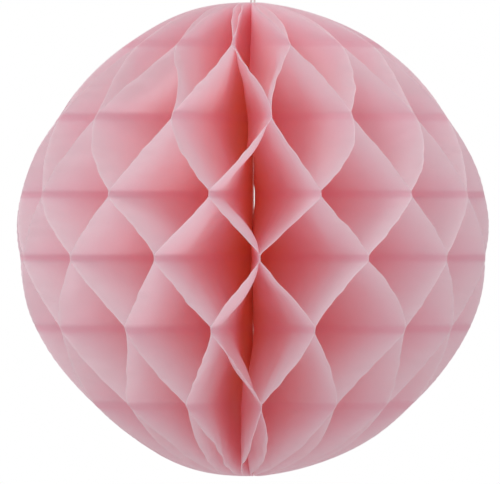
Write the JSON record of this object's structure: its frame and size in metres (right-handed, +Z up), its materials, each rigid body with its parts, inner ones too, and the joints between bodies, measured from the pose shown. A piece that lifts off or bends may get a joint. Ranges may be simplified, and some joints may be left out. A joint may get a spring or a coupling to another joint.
{
  "type": "paper lantern",
  "caption": "Folding tissue-paper honeycomb ball lantern: a fan of glued sheets between two half-moon cover boards, turning about a thread that ends in a hanging loop.",
  "frame": {"origin": "inside the top of the hanging loop, where a hook bears; the ball's centre is 154.6 mm straight below", "axes": "+Z up along the thread, +Y towards the seam between the two cover boards at the back, -Y towards the front of the ball, +X to the right seen from the front"},
  "size_m": [0.2482, 0.2497, 0.2805],
  "materials": {
    "tissue": "matte",
    "card": "matte",
    "adhesive": "satin",
    "thread": "matte"
  },
  "bodies": {
    "spine": {"spine_thread": "thread", "top_knot": "thread", "bottom_knot": "thread", "hang_loop": "thread", "cover_board_left": "card", "adhesive_strip_upper": "adhesive", "adhesive_strip_middle": "adhesive", "adhesive_strip_lower": "adhesive", "tissue_sheet_01": "tissue"},
    "right_cover": {"cover_board_right": "card", "tissue_sheet_30": "tissue"},
    "leaf_02": {"tissue_sheet_02": "tissue"},
    "leaf_03": {"tissue_sheet_03": "tissue"},
    "leaf_04": {"tissue_sheet_04": "tissue"},
    "leaf_05": {"tissue_sheet_05": "tissue"},
    "leaf_06": {"tissue_sheet_06": "tissue"},
    "leaf_07": {"tissue_sheet_07": "tissue"},
    "leaf_08": {"tissue_sheet_08": "tissue"},
    "leaf_09": {"tissue_sheet_09": "tissue"},
    "leaf_10": {"tissue_sheet_10": "tissue"},
    "leaf_11": {"tissue_sheet_11": "tissue"},
    "leaf_12": {"tissue_sheet_12": "tissue"},
    "leaf_13": {"tissue_sheet_13": "tissue"},
    "leaf_14": {"tissue_sheet_14": "tissue"},
    "leaf_15": {"tissue_sheet_15": "tissue"},
    "leaf_16": {"tissue_sheet_16": "tissue"},
    "leaf_17": {"tissue_sheet_17": "tissue"},
    "leaf_18": {"tissue_sheet_18": "tissue"},
    "leaf_19": {"tissue_sheet_19": "tissue"},
    "leaf_20": {"tissue_sheet_20": "tissue"},
    "leaf_21": {"tissue_sheet_21": "tissue"},
    "leaf_22": {"tissue_sheet_22": "tissue"},
    "leaf_23": {"tissue_sheet_23": "tissue"},
    "leaf_24": {"tissue_sheet_24": "tissue"},
    "leaf_25": {"tissue_sheet_25": "tissue"},
    "leaf_26": {"tissue_sheet_26": "tissue"},
    "leaf_27": {"tissue_sheet_27": "tissue"},
    "leaf_28": {"tissue_sheet_28": "tissue"},
    "leaf_29": {"tissue_sheet_29": "tissue"}
  },
  "joints": [
    {"name": "fan_fold", "type": "hinge", "parent": "spine", "child": "right_cover", "pos_m": [0, 0, -0.1546], "axis": [0, 0, 1], "range_deg": [-352, 0], "deforming": ["tissue_sheet_30"]},
    {"name": "leaf_02_turn", "type": "hinge", "parent": "spine", "child": "leaf_02", "pos_m": [0, 0, -0.1546], "axis": [0, 0, 1], "range_deg": [-6.63, 0], "deforming": ["tissue_sheet_02"]},
    {"name": "leaf_03_turn", "type": "hinge", "parent": "spine", "child": "leaf_03", "pos_m": [0, 0, -0.1546], "axis": [0, 0, 1], "range_deg": [-19.74, 0], "deforming": ["tissue_sheet_03"]},
    {"name": "leaf_04_turn", "type": "hinge", "parent": "spine", "child": "leaf_04", "pos_m": [0, 0, -0.1546], "axis": [0, 0, 1], "range_deg": [-32.68, 0], "deforming": ["tissue_sheet_04"]},
    {"name": "leaf_05_turn", "type": "hinge", "parent": "spine", "child": "leaf_05", "pos_m": [0, 0, -0.1546], "axis": [0, 0, 1], "range_deg": [-45.38, 0], "deforming": ["tissue_sheet_05"]},
    {"name": "leaf_06_turn", "type": "hinge", "parent": "spine", "child": "leaf_06", "pos_m": [0, 0, -0.1546], "axis": [0, 0, 1], "range_deg": [-57.82, 0], "deforming": ["tissue_sheet_06"]},
    {"name": "leaf_07_turn", "type": "hinge", "parent": "spine", "child": "leaf_07", "pos_m": [0, 0, -0.1546], "axis": [0, 0, 1], "range_deg": [-70.02, 0], "deforming": ["tissue_sheet_07"]},
    {"name": "leaf_08_turn", "type": "hinge", "parent": "spine", "child": "leaf_08", "pos_m": [0, 0, -0.1546], "axis": [0, 0, 1], "range_deg": [-82.06, 0], "deforming": ["tissue_sheet_08"]},
    {"name": "leaf_09_turn", "type": "hinge", "parent": "spine", "child": "leaf_09", "pos_m": [0, 0, -0.1546], "axis": [0, 0, 1], "range_deg": [-94.04, 0], "deforming": ["tissue_sheet_09"]},
    {"name": "leaf_10_turn", "type": "hinge", "parent": "spine", "child": "leaf_10", "pos_m": [0, 0, -0.1546], "axis": [0, 0, 1], "range_deg": [-106.08, 0], "deforming": ["tissue_sheet_10"]},
    {"name": "leaf_11_turn", "type": "hinge", "parent": "spine", "child": "leaf_11", "pos_m": [0, 0, -0.1546], "axis": [0, 0, 1], "range_deg": [-118.28, 0], "deforming": ["tissue_sheet_11"]},
    {"name": "leaf_12_turn", "type": "hinge", "parent": "spine", "child": "leaf_12", "pos_m": [0, 0, -0.1546], "axis": [0, 0, 1], "range_deg": [-130.72, 0], "deforming": ["tissue_sheet_12"]},
    {"name": "leaf_13_turn", "type": "hinge", "parent": "spine", "child": "leaf_13", "pos_m": [0, 0, -0.1546], "axis": [0, 0, 1], "range_deg": [-143.42, 0], "deforming": ["tissue_sheet_13"]},
    {"name": "leaf_14_turn", "type": "hinge", "parent": "spine", "child": "leaf_14", "pos_m": [0, 0, -0.1546], "axis": [0, 0, 1], "range_deg": [-156.36, 0], "deforming": ["tissue_sheet_14"]},
    {"name": "leaf_15_turn", "type": "hinge", "parent": "spine", "child": "leaf_15", "pos_m": [0, 0, -0.1546], "axis": [0, 0, 1], "range_deg": [-169.47, 0], "deforming": ["tissue_sheet_15"]},
    {"name": "leaf_16_turn", "type": "hinge", "parent": "spine", "child": "leaf_16", "pos_m": [0, 0, -0.1546], "axis": [0, 0, 1], "range_deg": [-182.63, 0], "deforming": ["tissue_sheet_16"]},
    {"name": "leaf_17_turn", "type": "hinge", "parent": "spine", "child": "leaf_17", "pos_m": [0, 0, -0.1546], "axis": [0, 0, 1], "range_deg": [-195.74, 0], "deforming": ["tissue_sheet_17"]},
    {"name": "leaf_18_turn", "type": "hinge", "parent": "spine", "child": "leaf_18", "pos_m": [0, 0, -0.1546], "axis": [0, 0, 1], "range_deg": [-208.68, 0], "deforming": ["tissue_sheet_18"]},
    {"name": "leaf_19_turn", "type": "hinge", "parent": "spine", "child": "leaf_19", "pos_m": [0, 0, -0.1546], "axis": [0, 0, 1], "range_deg": [-221.38, 0], "deforming": ["tissue_sheet_19"]},
    {"name": "leaf_20_turn", "type": "hinge", "parent": "spine", "child": "leaf_20", "pos_m": [0, 0, -0.1546], "axis": [0, 0, 1], "range_deg": [-233.82, 0], "deforming": ["tissue_sheet_20"]},
    {"name": "leaf_21_turn", "type": "hinge", "parent": "spine", "child": "leaf_21", "pos_m": [0, 0, -0.1546], "axis": [0, 0, 1], "range_deg": [-246.02, 0], "deforming": ["tissue_sheet_21"]},
    {"name": "leaf_22_turn", "type": "hinge", "parent": "spine", "child": "leaf_22", "pos_m": [0, 0, -0.1546], "axis": [0, 0, 1], "range_deg": [-258.06, 0], "deforming": ["tissue_sheet_22"]},
    {"name": "leaf_23_turn", "type": "hinge", "parent": "spine", "child": "leaf_23", "pos_m": [0, 0, -0.1546], "axis": [0, 0, 1], "range_deg": [-270.04, 0], "deforming": ["tissue_sheet_23"]},
    {"name": "leaf_24_turn", "type": "hinge", "parent": "spine", "child": "leaf_24", "pos_m": [0, 0, -0.1546], "axis": [0, 0, 1], "range_deg": [-282.08, 0], "deforming": ["tissue_sheet_24"]},
    {"name": "leaf_25_turn", "type": "hinge", "parent": "spine", "child": "leaf_25", "pos_m": [0, 0, -0.1546], "axis": [0, 0, 1], "range_deg": [-294.28, 0], "deforming": ["tissue_sheet_25"]},
    {"name": "leaf_26_turn", "type": "hinge", "parent": "spine", "child": "leaf_26", "pos_m": [0, 0, -0.1546], "axis": [0, 0, 1], "range_deg": [-306.72, 0], "deforming": ["tissue_sheet_26"]},
    {"name": "leaf_27_turn", "type": "hinge", "parent": "spine", "child": "leaf_27", "pos_m": [0, 0, -0.1546], "axis": [0, 0, 1], "range_deg": [-319.42, 0], "deforming": ["tissue_sheet_27"]},
    {"name": "leaf_28_turn", "type": "hinge", "parent": "spine", "child": "leaf_28", "pos_m": [0, 0, -0.1546], "axis": [0, 0, 1], "range_deg": [-332.36, 0], "deforming": ["tissue_sheet_28"]},
    {"name": "leaf_29_turn", "type": "hinge", "parent": "spine", "child": "leaf_29", "pos_m": [0, 0, -0.1546], "axis": [0, 0, 1], "range_deg": [-345.47, 0], "deforming": ["tissue_sheet_29"]}
  ],
  "couplings": [
    {"joint": "leaf_02_turn", "follows": "fan_fold", "ratio": 0.018701},
    {"joint": "leaf_03_turn", "follows": "fan_fold", "ratio": 0.055935},
    {"joint": "leaf_04_turn", "follows": "fan_fold", "ratio": 0.092702},
    {"joint": "leaf_05_turn", "follows": "fan_fold", "ratio": 0.12879},
    {"joint": "leaf_06_turn", "follows": "fan_fold", "ratio": 0.16413},
    {"joint": "leaf_07_turn", "follows": "fan_fold", "ratio": 0.19879},
    {"joint": "leaf_08_turn", "follows": "fan_fold", "ratio": 0.23299},
    {"joint": "leaf_09_turn", "follows": "fan_fold", "ratio": 0.26701},
    {"joint": "leaf_10_turn", "follows": "fan_fold", "ratio": 0.30121},
    {"joint": "leaf_11_turn", "follows": "fan_fold", "ratio": 0.33587},
    {"joint": "leaf_12_turn", "follows": "fan_fold", "ratio": 0.37121},
    {"joint": "leaf_13_turn", "follows": "fan_fold", "ratio": 0.4073},
    {"joint": "leaf_14_turn", "follows": "fan_fold", "ratio": 0.44406},
    {"joint": "leaf_15_turn", "follows": "fan_fold", "ratio": 0.4813},
    {"joint": "leaf_16_turn", "follows": "fan_fold", "ratio": 0.5187},
    {"joint": "leaf_17_turn", "follows": "fan_fold", "ratio": 0.55593},
    {"joint": "leaf_18_turn", "follows": "fan_fold", "ratio": 0.5927},
    {"joint": "leaf_19_turn", "follows": "fan_fold", "ratio": 0.62879},
    {"joint": "leaf_20_turn", "follows": "fan_fold", "ratio": 0.66413},
    {"joint": "leaf_21_turn", "follows": "fan_fold", "ratio": 0.69879},
    {"joint": "leaf_22_turn", "follows": "fan_fold", "ratio": 0.73299},
    {"joint": "leaf_23_turn", "follows": "fan_fold", "ratio": 0.76701},
    {"joint": "leaf_24_turn", "follows": "fan_fold", "ratio": 0.80121},
    {"joint": "leaf_25_turn", "follows": "fan_fold", "ratio": 0.83587},
    {"joint": "leaf_26_turn", "follows": "fan_fold", "ratio": 0.87121},
    {"joint": "leaf_27_turn", "follows": "fan_fold", "ratio": 0.9073},
    {"joint": "leaf_28_turn", "follows": "fan_fold", "ratio": 0.94407},
    {"joint": "leaf_29_turn", "follows": "fan_fold", "ratio": 0.9813}
  ]
}
